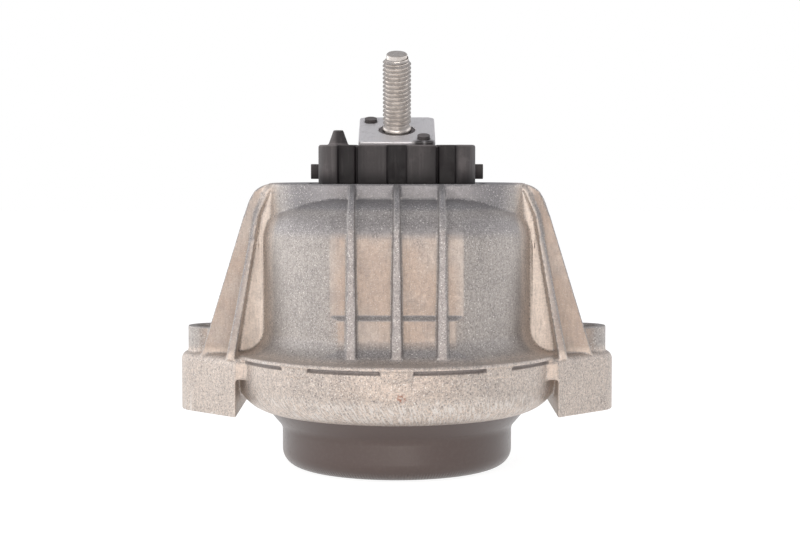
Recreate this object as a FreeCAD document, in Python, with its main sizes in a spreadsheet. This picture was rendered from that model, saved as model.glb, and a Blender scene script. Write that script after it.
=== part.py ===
"""Hydraulic engine mount: cast housing, bonded rubber spring with a leaning stud, and a pressed cup.

Frame: the origin is the centre of the cup's flat bottom, +Z points up towards the stud, +X runs
through the two bolt bosses and -Y is the side the stud leans to. Lengths are in millimetres.
"""

import FreeCAD, Part
import math
import os
import re

import Sketcher

# Each size of the mount that can be set by itself. The sheet of the document repeats these as cells.
SIZES = {
    # pressed steel cup
    "cup_inset": 11.4,  # how far the cup's wall stands in from the stack's edge
    "cup_wall": 2.0,
    "cup_corner": 6.0,
    "cup_straight": 14.2,  # height at which the wall turns out into the flare
    "flare_slope": 1.17,  # rise of the flare for each millimetre of run
    "flare_rounding": 4.0,
    "flange_bottom": 23.0,
    # stack of pieces that the rolled lip holds: outer radius and the height of each layer
    "stack_radius": 52.8,
    "bead_height": 3.0,
    "plate_height": 3.0,
    "ring_flange": 3.5,
    "fit_gap": 0.2,  # radial gap between a bore and what sits in it
    # cast housing, lower bowl
    "lip_thickness": 2.7,
    "lip_reach": 6.0,  # how far the rolled lip reaches in under the flange
    "bowl_wall": 5.2,  # outside the stack
    "bowl_rise": 2.6,
    "bowl_rounding": 13.0,
    "groove_lift": 1.4,  # above the seat of the stack
    "groove_height": 1.4,
    "groove_depth": 0.7,
    "rim_overhang": 1.7,
    "rim_height": 1.3,
    "rim_edge": 0.6,
    "rim_fillet": 8.5,
    # cast housing, dome and neck
    "dome_inset": 9.5,  # in from the bowl's side
    "dome_shoulder": 14.5,
    "dome_wall": 9.0,
    "flat_cut": 5.5,  # how far the front and rear are flattened
    "flat_step": 1.3,
    "flat_ledge": 57.0,
    "roof_thickness": 10.2,
    "bore_rounding": 9.0,
    "neck_top": 101.2,
    "neck_rise": 5.5,
    "neck_corner": 24.0,
    "neck_side_wall": 15.0,  # outside the opening
    "neck_front_wall": 3.5,
    "opening_corner": 9.0,
    # three ribs on the front and three on the rear of the dome
    "rib_pitch": 15.3,
    "rib_top_width": 1.9,
    "rib_foot_width": 3.6,
    "rib_lift": 0.9,  # above the rim
    "rib_setback": 2.0,  # in from the dome's full round
    "rib_slant": 2.2,  # how far the foot stands out past the top
    "rib_fall": 5.0,
    "rib_rounding": 17.0,
    # side webs and their gussets
    "web_face": 12.6,
    "web_thickness": 2.6,
    "web_top_reach": 2.1,  # out past the dome
    "web_foot_reach": 4.2,  # out past the bolt
    "web_corner": 9.5,
    "gusset_top_inset": 5.8,  # in from the web's top corner
    "gusset_knee_inset": 1.4,
    "gusset_knee_drop": 10.9,
    "gusset_foot_inset": 8.0,  # in from the bolt
    "gusset_reach": 12.6,
    "gusset_top_width": 1.8,
    "gusset_foot_width": 3.0,
    # ears and bolt bosses
    "bolt_reach": 8.0,  # out past the bowl's side
    "bolt_hole": 10.6,
    "bolt_chamfer": 1.2,
    "boss_diameter": 18.8,
    "boss_rise": 9.0,
    "ear_height": 21.0,
    "ear_plate": 7.8,
    "ear_drop": 0.6,  # below the rim
    "ear_root": 2.0,  # in from the bowl's side
    "ear_half_depth": 26.0,
    "ear_overhang": 17.3,
    "ear_rounding": 12.2,
    "ear_edge": 3.0,
    "ear_wall": 4.2,
    "ear_roof": 5.0,
    # staking marks under the rim
    "tab_count": 10,
    "tab_width": 11.0,
    "tab_height": 3.3,
    "tab_relief": 1.0,
    # core, with its leaning square head
    "core_lean": 20.0,
    "face_rise": 5.6,  # above the rubber collar
    "face_shift": 5.0,
    "head_side": 27.0,
    "head_corner": 2.0,
    "head_root": 3.0,  # how deep the head runs into the shoulder
    "cone_drop": 15.5,
    "core_foot_radius": 13.0,
    "core_cone_radius": 17.0,
    "shoulder_gap": 5.0,  # from the opening's front
    "shoulder_drop": 9.2,
    "stop_flange_reach": 7.0,  # out under the roof
    "stop_flange_thickness": 3.5,
    "rebound_pad_height": 4.0,
    "rebound_gap": 2.0,
    # stud
    "stud_diameter": 10.0,
    "stud_length": 28.0,
    "stud_buried": 20.0,
    "stud_root": 9.0,  # diameter of the end pressed into the head
    "stud_point": 7.3,
    "stud_point_length": 1.8,
    "stud_chamfer": 1.2,
    "counterbore": 13.0,
    "counterbore_depth": 1.5,
    # rubber pips in the head's face
    "pip_diameter": 4.4,
    "pip_height": 1.1,
    "pip_buried": 3.0,
    "pip_across": 9.4,
    "pip_front": 9.6,
    "pip_rear": 8.7,
    # rubber stop collar round the head
    "collar_sink": 5.2,  # below the neck's top
    "collar_rise": 13.6,
    "collar_half_depth": 22.0,
    "collar_front_gap": 2.0,  # to the opening in the neck
    "collar_side_gap": 3.5,
    "collar_pad_half_width": 13.6,
    "collar_pad_depth": 6.0,
    "lobe_across": 20.5,
    "lobe_radius": 7.0,
    "lobe_edge": 0.8,
    "pad_groove_width": 7.0,
    "pad_groove_depth": 1.5,
    "lobe_recess_depth": 3.0,
    "lug_reach": 3.8,
    "lug_lift": 1.4,
    "lug_height": 5.4,
    "lug_near": 6.0,
    "lug_far": 14.0,
    "cone_foot": 7.6,
    "cone_tip": 3.4,
    "cone_height": 5.1,
    # bonded rubber spring and its ring
    "ring_wall": 2.5,
    "ring_collar_height": 20.0,
    "ring_rounding": 2.0,
    "spring_foot_wall": 6.8,
    "spring_inner_rounding": 8.0,
    # fluid channel and decoupler
    "channel_edge": 3.8,
    "channel_width": 7.0,
    "channel_depth": 1.8,
    "channel_sweep": 330.0,
    "window_radius": 24.0,
    "window_recess": 1.0,
    "window_hole": 6.0,
    "window_hole_circle": 14.0,
    "window_hole_count": 8,
    # bellows
    "bellows_wall": 1.8,
    "bellows_floor": 6.5,
    "bellows_crown": 20.0,
    "bellows_crown_slope": 7.5,
    "bellows_fold_width": 6.5,
    "bellows_gap": 5.4,  # inside the cup
    "bellows_ring_width": 5.8,
    "bellows_bead_width": 6.0,
    "bellows_rounding": 2.0,
}

# Lengths that follow from the sizes above, as expressions of them.
LEVELS = {
    # heights, from the cup's bottom up
    "flange_top": "flange_bottom + cup_wall",
    "bead_top": "flange_top + bead_height",
    "lower_plate_top": "bead_top + plate_height",
    "upper_plate_top": "lower_plate_top + plate_height",
    "seat_top": "upper_plate_top + ring_flange",
    "lip_bottom": "flange_bottom - lip_thickness",
    "window_floor": "lower_plate_top - window_recess",
    "groove_bottom": "seat_top + groove_lift",
    "rim_top": "groove_bottom + groove_height + rim_height",
    "rib_foot": "rim_top + rib_lift",
    "ear_top": "rim_top - ear_drop",
    "ear_arch": "ear_top - ear_plate",
    "ear_bottom": "ear_top - ear_height",
    "boss_top": "ear_top + boss_rise",
    "dome_top": "neck_top - neck_rise",
    "roof_underside": "neck_top - roof_thickness",
    "gusset_knee_height": "neck_top - gusset_knee_drop",
    "core_shoulder_top": "neck_top - shoulder_drop",
    "stop_flange_top": "roof_underside - rebound_gap - rebound_pad_height",
    "stop_flange_bottom": "stop_flange_top - stop_flange_thickness",
    "core_foot": "stop_flange_bottom - cone_drop",
    "collar_bottom": "neck_top - collar_sink",
    "collar_top": "neck_top + collar_rise",
    "lug_bottom": "neck_top + lug_lift",
    "face_height": "collar_top + face_rise",
    "head_depth": "(face_height - core_shoulder_top) / cos(core_lean * 1 deg) + head_root",
    # distances from the axis
    "flange_outer": "stack_radius - fit_gap",
    "cup_radius": "stack_radius - cup_inset",
    "bowl_radius": "stack_radius + bowl_wall",
    "rim_radius": "bowl_radius + rim_overhang",
    "dome_radius": "bowl_radius - dome_inset",
    "dome_bore": "dome_radius - dome_wall",
    "flat_upper": "dome_radius - flat_cut",
    "flat_lower": "flat_upper + flat_step",
    "rib_front": "dome_radius - rib_setback",
    "rib_foot_front": "rib_front + rib_slant",
    "opening_half_width": "lobe_across + lobe_radius + collar_side_gap",
    "opening_half_depth": "collar_half_depth + collar_front_gap",
    "neck_half_width": "opening_half_width + neck_side_wall",
    "neck_half_depth": "opening_half_depth + neck_front_wall",
    "web_top_half_width": "dome_radius + web_top_reach",
    "bolt_offset": "bowl_radius + bolt_reach",
    "web_foot_half_width": "bolt_offset + web_foot_reach",
    "gusset_top": "web_top_half_width - gusset_top_inset",
    "gusset_knee": "web_top_half_width - gusset_knee_inset",
    "gusset_foot": "bolt_offset - gusset_foot_inset",
    "ear_inner": "bowl_radius - ear_root",
    "ear_apex": "bolt_offset + ear_overhang",
    "core_shoulder_radius": "opening_half_depth - shoulder_gap",
    "stop_flange_radius": "opening_half_depth + stop_flange_reach",
    "collar_body_half_depth": "collar_half_depth - collar_pad_depth",
    "lobe_along": "collar_half_depth - lobe_radius",
    "lug_half_width": "lobe_across + lobe_radius + lug_reach",
    "ring_inner": "dome_bore - fit_gap - ring_wall",
    "spring_inner_foot": "ring_inner - spring_foot_wall",
    "channel_outer": "stack_radius - channel_edge",
    "channel_inner": "channel_outer - channel_width",
    "bellows_bead_outer": "stack_radius - bellows_ring_width",
    "bellows_bead_inner": "bellows_bead_outer - bellows_bead_width",
    "bellows_fold_outer": "cup_radius - cup_wall - bellows_gap",
    "bellows_fold_inner": "bellows_fold_outer - bellows_fold_width",
    "bellows_crown_radius": "bellows_fold_inner - bellows_crown_slope",
    # slopes and shifts
    "flare_shift": "cup_wall * sqrt(1 + flare_slope ^ 2) / flare_slope",
    "ear_slope": "ear_half_depth / (ear_apex - ear_inner)",
}

SHEET = "Sizes"
document = FreeCAD.newDocument("EngineMount")
sheet = document.addObject("Spreadsheet::Sheet", SHEET)


def fill_sheet():
    """Write each size in a cell of its own, with its name as the cell's alias."""
    for row, (name, size) in enumerate(SIZES.items(), start=1):
        sheet.set("A%d" % row, name)
        sheet.set("B%d" % row, str(size))
        sheet.setAlias("B%d" % row, name)
    document.recompute()


def spell(expression, prefix=""):
    """The expression with each level written out, and each size with the sheet's name before it."""

    def swap(word):
        name = word[0]
        if name in LEVELS:
            return "(" + spell(LEVELS[name], prefix) + ")"
        return prefix + name if name in SIZES else name

    return re.sub(r"[a-z_]+", swap, expression)


def value(expression):
    """The number that an expression of the sizes comes to."""
    return float(sheet.evalExpression(spell(expression)))


def bind(thing, path, expression):
    """Tie a property of a document object to an expression of the sizes."""
    thing.setExpression(path, spell(expression, SHEET + "."))


def minus(expression):
    """The expression with its sign turned."""
    return "-(" + expression + ")"


# ---- sketches ----


def new_body(label):
    """An empty body whose label is the name of the sub-part."""
    body = document.addObject("PartDesign::Body", label)
    body.Label = label
    return body


def origin_plane(body, role):
    """The origin plane of a body that has the given role, such as XY_Plane."""
    return next(item for item in body.Origin.OriginFeatures if item.Role == role)


def new_sketch(body, name, plane, lift="0"):
    """An empty sketch on an origin plane of the body, or lifted off it along the plane's normal."""
    sketch = body.newObject("Sketcher::SketchObject", name)
    sketch.AttachmentSupport = (origin_plane(body, plane), [""])
    sketch.MapMode = "FlatFace"
    if lift != "0":
        bind(sketch, "AttachmentOffset.Base.z", lift)
    return sketch


def lean_on_face(sketch):
    """Turn a sketch on the XY plane into the leaning plane of the head's face."""
    axis = FreeCAD.Vector(1, 0, 0)
    centre = FreeCAD.Vector(0, -value("face_shift"), value("face_height"))
    sketch.AttachmentOffset = FreeCAD.Placement(centre, FreeCAD.Rotation(axis, value("core_lean")))
    bind(sketch, "AttachmentOffset.Base.y", minus("face_shift"))
    bind(sketch, "AttachmentOffset.Base.z", "face_height")
    bind(sketch, "AttachmentOffset.Rotation.Angle", "core_lean * 1 deg")


def tie_point(sketch, part, end, across, up):
    """Hold an end of a sketch's part at a place given by two expressions."""
    for kind, axis, place in (("DistanceX", -2, across), ("DistanceY", -1, up)):
        if place == "0":
            sketch.addConstraint(Sketcher.Constraint("PointOnObject", part, end, axis))
        else:
            tie = Sketcher.Constraint(kind, -1, 1, part, end, value(place))
            bind(sketch, "Constraints[%d]" % sketch.addConstraint(tie), place)


def corner_arc(point, arrive, leave, radius):
    """The arc that rounds a corner, and which of its ends lies on the side that arrives there."""
    inward = (arrive - point) + (leave - point)
    reach = (arrive - point).Length
    centre = point + inward.normalize() * math.hypot(radius, reach)
    turn = (point - arrive).cross(leave - point).z
    first, last = (arrive, leave) if turn > 0 else (leave, arrive)
    angles = [math.atan2(end.y - centre.y, end.x - centre.x) for end in (first, last)]
    if angles[1] < angles[0]:
        angles[1] += 2 * math.pi
    circle = Part.Circle(centre, FreeCAD.Vector(0, 0, 1), radius)
    return Part.ArcOfCircle(circle, *angles), 1 if turn > 0 else 2


def draw_outline(sketch, corners):
    """Add a closed outline. A corner is (across, up), or (across, up, rounding), as expressions."""
    count = len(corners)
    points = [FreeCAD.Vector(value(corner[0]), value(corner[1]), 0) for corner in corners]
    arrives, leaves = [], []
    for index, point in enumerate(points):
        back = (points[index - 1] - point).normalize()
        ahead = (points[(index + 1) % count] - point).normalize()
        radius = value(corners[index][2]) if len(corners[index]) > 2 else 0.0
        reach = radius / math.tan(back.getAngle(ahead) / 2)
        arrives.append(point + back * reach)
        leaves.append(point + ahead * reach)
    sides = [
        sketch.addGeometry(Part.LineSegment(leaves[index], arrives[(index + 1) % count]))
        for index in range(count)
    ]
    for index, corner in enumerate(corners):
        before, after = sides[index - 1], sides[index]
        if len(corner) == 2:
            sketch.addConstraint(Sketcher.Constraint("Coincident", before, 2, after, 1))
            tie_point(sketch, after, 1, corner[0], corner[1])
            continue
        radius = value(corner[2])
        curve, near = corner_arc(points[index], arrives[index], leaves[index], radius)
        arc = sketch.addGeometry(curve)
        tip = sketch.addGeometry(Part.Point(points[index]), True)
        sketch.addConstraint(Sketcher.Constraint("Tangent", before, 2, arc, near))
        sketch.addConstraint(Sketcher.Constraint("Tangent", arc, 3 - near, after, 1))
        sketch.addConstraint(Sketcher.Constraint("PointOnObject", tip, 1, before))
        sketch.addConstraint(Sketcher.Constraint("PointOnObject", tip, 1, after))
        round_tie = sketch.addConstraint(Sketcher.Constraint("Radius", arc, radius))
        bind(sketch, "Constraints[%d]" % round_tie, corner[2])
        tie_point(sketch, tip, 1, corner[0], corner[1])


def draw_circle(sketch, across, up, radius):
    """Add a circle whose centre and radius are expressions."""
    centre = FreeCAD.Vector(value(across), value(up), 0)
    circle = sketch.addGeometry(Part.Circle(centre, FreeCAD.Vector(0, 0, 1), value(radius)))
    tie_point(sketch, circle, 3, across, up)
    size = sketch.addConstraint(Sketcher.Constraint("Radius", circle, value(radius)))
    bind(sketch, "Constraints[%d]" % size, radius)


def draw_box(sketch, left, right, low, high, rounding=None):
    """Add a rectangle between two places across and two places up."""
    corners = [(left, low), (right, low), (right, high), (left, high)]
    draw_outline(sketch, [corner + (rounding,) if rounding else corner for corner in corners])


# ---- features ----


def extrude(body, kind, sketch, length, reverse=False, symmetric=False):
    """Pad or pocket a sketch by an expression's length."""
    feature = body.newObject("PartDesign::" + kind, sketch.Label + "_" + kind.lower())
    feature.Profile = sketch
    feature.Reversed = reverse
    if symmetric:
        feature.SideType = "Symmetric"
    bind(feature, "Length", length)
    return feature


def turn(body, kind, sketch, sweep="360"):
    """Turn a sketch about its own upright axis, as a Revolution or a Groove."""
    feature = body.newObject("PartDesign::" + kind, sketch.Label + "_" + kind.lower())
    feature.Profile = sketch
    feature.ReferenceAxis = (sketch, ["V_Axis"])
    bind(feature, "Angle", sweep)
    return feature


def turned_body(label, corners):
    """A body turned from one outline about the Z axis."""
    body = new_body(label)
    profile = new_sketch(body, label + "_profile", "XZ_Plane")
    draw_outline(profile, corners)
    turn(body, "Revolution", profile)
    return body


def mirror(body, feature, plane):
    """Repeat a feature on the other side of an origin plane."""
    copy = body.newObject("PartDesign::Mirrored", feature.Label + "_mirrored")
    copy.Originals = [feature]
    copy.MirrorPlane = (origin_plane(body, plane), [""])
    body.Tip = copy
    return copy


def ring_pattern(body, feature, count):
    """Repeat a feature evenly round the Z axis."""
    pattern = body.newObject("PartDesign::PolarPattern", feature.Label + "_pattern")
    pattern.Originals = [feature]
    axis = next(item for item in body.Origin.OriginFeatures if item.Role == "Z_Axis")
    pattern.Axis = (axis, [""])
    bind(pattern, "Occurrences", count)
    body.Tip = pattern
    return pattern


def soften(body, kind, keep, amount):
    """Fillet or chamfer the edges of the body's tip that a test keeps."""
    document.recompute()
    tip = body.Tip
    names = ["Edge%d" % (n + 1) for n, edge in enumerate(tip.Shape.Edges) if keep(edge)]
    feature = body.newObject("PartDesign::" + kind, body.Label + "_" + kind.lower())
    feature.Base = (tip, names)
    bind(feature, "Radius" if kind == "Fillet" else "Size", amount)
    return feature


def at_height(edge, height):
    """Whether all of an edge lies at a height."""
    box = edge.BoundBox
    return abs(box.ZMin - height) < 1e-4 and abs(box.ZMax - height) < 1e-4


# ---- cast housing ----


def ear_outline(wall=None):
    """The plan of one ear: a wedge with a round end about the bolt, or the same drawn in by a wall."""
    if wall is None:
        return [
            ("ear_inner", minus("ear_half_depth")),
            ("ear_apex", "0", "ear_rounding"),
            ("ear_inner", "ear_half_depth"),
        ]
    apex = "(ear_apex - {0} * sqrt(1 + ear_slope ^ 2) / ear_slope)".format(wall)
    inner = "(ear_inner + {0})".format(wall)
    half = "({0} - {1}) * ear_slope".format(apex, inner)
    return [(inner, minus(half)), (apex, "0", "ear_rounding - " + wall), (inner, half)]


def add_ears(body):
    """One plate right across the housing whose ends are the ears, and a skirt below each end."""
    plate = new_sketch(body, "ear_plate", "XY_Plane", "ear_arch")
    right = ear_outline()
    left = [(minus(right[2][0]), right[2][1]), (minus("ear_apex"), "0", "ear_rounding")]
    left.append((minus(right[0][0]), right[0][1]))
    draw_outline(plate, right + left)
    extrude(body, "Pad", plate, "ear_top - ear_arch")
    top = value("ear_top")
    soften(body, "Fillet", lambda edge: at_height(edge, top), "ear_edge")
    skirt = new_sketch(body, "ear_skirt", "XY_Plane", "ear_bottom")
    draw_outline(skirt, ear_outline())
    mirror(body, extrude(body, "Pad", skirt, "ear_arch - ear_bottom"), "YZ_Plane")


def add_bowl_and_dome(body):
    """The turned form: rolled lip, bowl, grooved rim, and the dome with its shoulder."""
    profile = new_sketch(body, "bowl_and_dome", "XZ_Plane")
    outline = [
        ("0", "lip_bottom"),
        ("stack_radius - lip_reach", "lip_bottom"),
        ("bowl_radius", "lip_bottom + bowl_rise", "bowl_rounding"),
        ("bowl_radius", "groove_bottom"),
        ("bowl_radius - groove_depth", "groove_bottom"),
        ("bowl_radius - groove_depth", "groove_bottom + groove_height"),
        ("rim_radius", "groove_bottom + groove_height"),
        ("rim_radius", "rim_top", "rim_edge"),
        ("dome_radius", "rim_top", "rim_fillet"),
        ("dome_radius", "dome_top", "dome_shoulder"),
        ("0", "dome_top"),
    ]
    draw_outline(profile, outline)
    turn(body, "Revolution", profile)


def add_flats(body):
    """Flatten the front and rear of the dome, with a ledge across each flat."""
    profile = new_sketch(body, "dome_flat", "YZ_Plane")
    outline = [
        ("-rim_radius", "rim_top"),
        ("-flat_lower", "rim_top", "rim_fillet"),
        ("-flat_lower", "flat_ledge - (flat_lower - flat_upper)"),
        ("-flat_upper", "flat_ledge"),
        ("-flat_upper", "dome_top", "dome_shoulder"),
        ("0", "dome_top"),
        ("0", "neck_top"),
        ("-rim_radius", "neck_top"),
    ]
    draw_outline(profile, outline)
    cut = extrude(body, "Pocket", profile, "2 * dome_radius", symmetric=True)
    mirror(body, cut, "XZ_Plane")


def add_neck(body):
    """The raised neck that the core comes out of."""
    plan = new_sketch(body, "neck", "XY_Plane", "dome_top - dome_shoulder")
    sides = (minus("neck_half_width"), "neck_half_width")
    ends = (minus("neck_half_depth"), "neck_half_depth")
    draw_box(plan, *sides, *ends, rounding="neck_corner")
    extrude(body, "Pad", plan, "neck_top - dome_top + dome_shoulder")


def add_ribs(body):
    """Three tapered ribs, front and rear, that follow the flat and shoulder up to the neck's top."""
    plan = new_sketch(body, "ribs", "XZ_Plane")
    for place in ("-rib_pitch", "0", "rib_pitch"):
        corners = [
            (place + " - rib_foot_width / 2", "rib_foot"),
            (place + " + rib_foot_width / 2", "rib_foot"),
            (place + " + rib_top_width / 2", "neck_top"),
            (place + " - rib_top_width / 2", "neck_top"),
        ]
        draw_outline(plan, corners)
    extrude(body, "Pad", plan, "2 * rib_foot_front", symmetric=True)
    side = new_sketch(body, "rib_shoulder", "YZ_Plane")
    outline = [
        ("-rib_foot_front", "rib_foot"),
        ("-rib_front", "neck_top - rib_fall", "rib_rounding"),
        ("-neck_half_depth", "neck_top"),
        ("-neck_half_depth", "neck_top + rib_fall"),
        ("-rib_foot_front - rib_fall", "neck_top + rib_fall"),
        ("-rib_foot_front - rib_fall", "rib_foot"),
    ]
    draw_outline(side, outline)
    cut = extrude(body, "Pocket", side, "2 * rib_pitch + 2 * rib_foot_width", symmetric=True)
    mirror(body, cut, "XZ_Plane")


def add_webs(body):
    """Two upright webs that stand on the ears, one each side of the bolts."""
    plan = new_sketch(body, "web", "XZ_Plane", "web_face - web_thickness")
    foot = "ear_top - ear_edge"
    corners = [
        (minus("web_foot_half_width"), foot),
        ("web_foot_half_width", foot),
        ("web_top_half_width", "neck_top", "web_corner"),
        (minus("web_top_half_width"), "neck_top", "web_corner"),
    ]
    draw_outline(plan, corners)
    mirror(body, extrude(body, "Pad", plan, "web_thickness"), "XZ_Plane")


def add_gussets(body):
    """A thin leaning gusset on each half of each web, growing from nothing down to the ear."""
    stations = [
        ("neck_top - 1", "gusset_top", "gusset_top_width", "web_thickness / 4"),
        ("gusset_knee_height", "gusset_knee", "gusset_top_width", "gusset_reach / 4"),
        ("ear_top - 1", "gusset_foot", "gusset_foot_width", "gusset_reach"),
    ]
    for hand in (1, -1):
        for side in (1, -1):
            sketches = []
            for height, place, width, reach in stations:
                sketch = new_sketch(body, "gusset", "XY_Plane", height)
                near = "{0} * (web_face - web_thickness / 2)".format(side)
                far = "{0} * (web_face + {1})".format(side, reach)
                left = "{0} * ({1}) - {2} / 2".format(hand, place, width)
                right = "{0} * ({1}) + {2} / 2".format(hand, place, width)
                low, high = (near, far) if side > 0 else (far, near)
                draw_box(sketch, left, right, low, high)
                sketches.append(sketch)
            loft = body.newObject("PartDesign::AdditiveLoft", "gusset_loft")
            loft.Profile = sketches[0]
            loft.Sections = sketches[1:]
            loft.Ruled = True


def add_bosses(body):
    """Core the ears out from below, then add the bolt bosses and their holes."""
    core = new_sketch(body, "ear_core", "XY_Plane", "ear_bottom")
    draw_outline(core, ear_outline("ear_wall"))
    depth = "ear_top - ear_roof - ear_bottom"
    mirror(body, extrude(body, "Pocket", core, depth, reverse=True), "YZ_Plane")
    boss = new_sketch(body, "boss", "XY_Plane", "ear_bottom")
    draw_circle(boss, "bolt_offset", "0", "boss_diameter / 2")
    mirror(body, extrude(body, "Pad", boss, "boss_top - ear_bottom"), "YZ_Plane")
    hole = new_sketch(body, "bolt_hole", "XY_Plane", "ear_bottom")
    draw_circle(hole, "bolt_offset", "0", "bolt_hole / 2")
    mirror(body, extrude(body, "Pocket", hole, "boss_top - ear_bottom", reverse=True), "YZ_Plane")
    top = value("boss_top")
    radius = value("bolt_hole") / 2

    def is_mouth(edge):
        return at_height(edge, top) and abs(edge.Length - 2 * math.pi * radius) < 1e-3

    soften(body, "Chamfer", is_mouth, "bolt_chamfer")


def add_cavity(body):
    """Turn out the inside: the mouth of the lip, the seat of the stack and the bore of the dome."""
    profile = new_sketch(body, "cavity", "XZ_Plane")
    mouth = "stack_radius - lip_reach"
    outline = [
        ("0", "lip_bottom"),
        (mouth, "lip_bottom"),
        (mouth + " + lip_thickness / flare_slope", "flange_bottom"),
        ("stack_radius", "flange_bottom"),
        ("stack_radius", "seat_top"),
        ("dome_bore", "seat_top"),
        ("dome_bore", "roof_underside", "bore_rounding"),
        ("0", "roof_underside"),
    ]
    draw_outline(profile, outline)
    turn(body, "Groove", profile)
    opening = new_sketch(body, "opening", "XY_Plane", "roof_underside")
    sides = (minus("opening_half_width"), "opening_half_width")
    ends = (minus("opening_half_depth"), "opening_half_depth")
    draw_box(opening, *sides, *ends, rounding="opening_corner")
    extrude(body, "Pocket", opening, "roof_thickness", reverse=True)


def add_staking_marks(body):
    """Half-round marks that close the groove under the rim, evenly spaced all round."""
    mark = new_sketch(body, "staking", "XZ_Plane", "bowl_radius - groove_depth - 1")
    half = "tab_width / 2"
    top = "groove_bottom + groove_height"
    corners = [
        (minus(half), top + " - tab_height", "tab_height * 0.8"),
        (half, top + " - tab_height", "tab_height * 0.8"),
        (half, top),
        (minus(half), top),
    ]
    draw_outline(mark, corners)
    pad = extrude(body, "Pad", mark, "rim_radius - bowl_radius + groove_depth + 1 - tab_relief")
    ring_pattern(body, pad, "tab_count")


def make_housing():
    """The cast aluminium housing, with its lower lip rolled in under the cup's flange."""
    body = new_body("housing")
    add_ears(body)
    add_bowl_and_dome(body)
    add_staking_marks(body)
    add_flats(body)
    add_neck(body)
    add_ribs(body)
    add_webs(body)
    add_gussets(body)
    add_cavity(body)
    add_bosses(body)
    return body


# ---- core, stud and the rubber round the head ----


def make_core():
    """The aluminium core: a bonded cone, the rebound flange and the leaning square head."""
    outline = [
        ("0", "core_foot"),
        ("core_foot_radius", "core_foot"),
        ("core_cone_radius", "stop_flange_bottom"),
        ("stop_flange_radius", "stop_flange_bottom"),
        ("stop_flange_radius", "stop_flange_top"),
        ("core_shoulder_radius", "stop_flange_top"),
        ("core_shoulder_radius", "core_shoulder_top"),
        ("0", "core_shoulder_top"),
    ]
    body = turned_body("inner_core", outline)
    head = new_sketch(body, "head", "XY_Plane")
    lean_on_face(head)
    half = "head_side / 2"
    draw_box(head, minus(half), half, minus(half), half, rounding="head_corner")
    extrude(body, "Pad", head, "head_depth", reverse=True)
    for name, radius, depth in (
        ("counterbore", "counterbore / 2", "counterbore_depth"),
        ("stud_bore", "stud_root / 2", "stud_buried"),
    ):
        bore = new_sketch(body, name, "XY_Plane")
        lean_on_face(bore)
        draw_circle(bore, "0", "0", radius)
        extrude(body, "Pocket", bore, depth)
    pips = new_sketch(body, "pip_holes", "XY_Plane")
    lean_on_face(pips)
    draw_pips(pips)
    extrude(body, "Pocket", pips, "pip_buried")


def draw_pips(sketch):
    """The two round places of the rubber pips on the head's face, at opposite corners."""
    draw_circle(sketch, minus("pip_across"), "pip_rear", "pip_diameter / 2")
    draw_circle(sketch, "pip_across", minus("pip_front"), "pip_diameter / 2")


def make_stud():
    """The stud, with a thinner root pressed into the head, and a chamfer and a plain point at its tip."""
    body = new_body("stud")
    radius = "stud_diameter / 2"
    tip = "stud_length - stud_point_length"
    corners = [
        ("0", "-stud_buried"),
        ("stud_root / 2", "-stud_buried"),
        ("stud_root / 2", "0"),
        (radius, "0"),
        (radius, tip + " - stud_chamfer"),
        ("stud_point / 2", tip),
        ("stud_point / 2", "stud_length"),
        ("0", "stud_length"),
    ]
    profile = new_sketch(body, "stud_profile", "XZ_Plane")
    draw_outline(profile, corners)
    turn(body, "Revolution", profile)
    centre = FreeCAD.Vector(0, -value("face_shift"), value("face_height"))
    turned = FreeCAD.Rotation(FreeCAD.Vector(1, 0, 0), value("core_lean"))
    body.Placement = FreeCAD.Placement(centre, turned)
    bind(body, "Placement.Base.y", minus("face_shift"))
    bind(body, "Placement.Base.z", "face_height")
    bind(body, "Placement.Rotation.Angle", "core_lean * 1 deg")


def make_gate_plugs():
    """Two rubber pips, moulded through holes in the head, that stand a little above its face."""
    body = new_body("gate_plugs")
    pips = new_sketch(body, "pips", "XY_Plane")
    lean_on_face(pips)
    draw_pips(pips)
    pad = extrude(body, "Pad", pips, "pip_height")
    pad.SideType = "Two sides"
    bind(pad, "Length2", "pip_buried")


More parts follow.
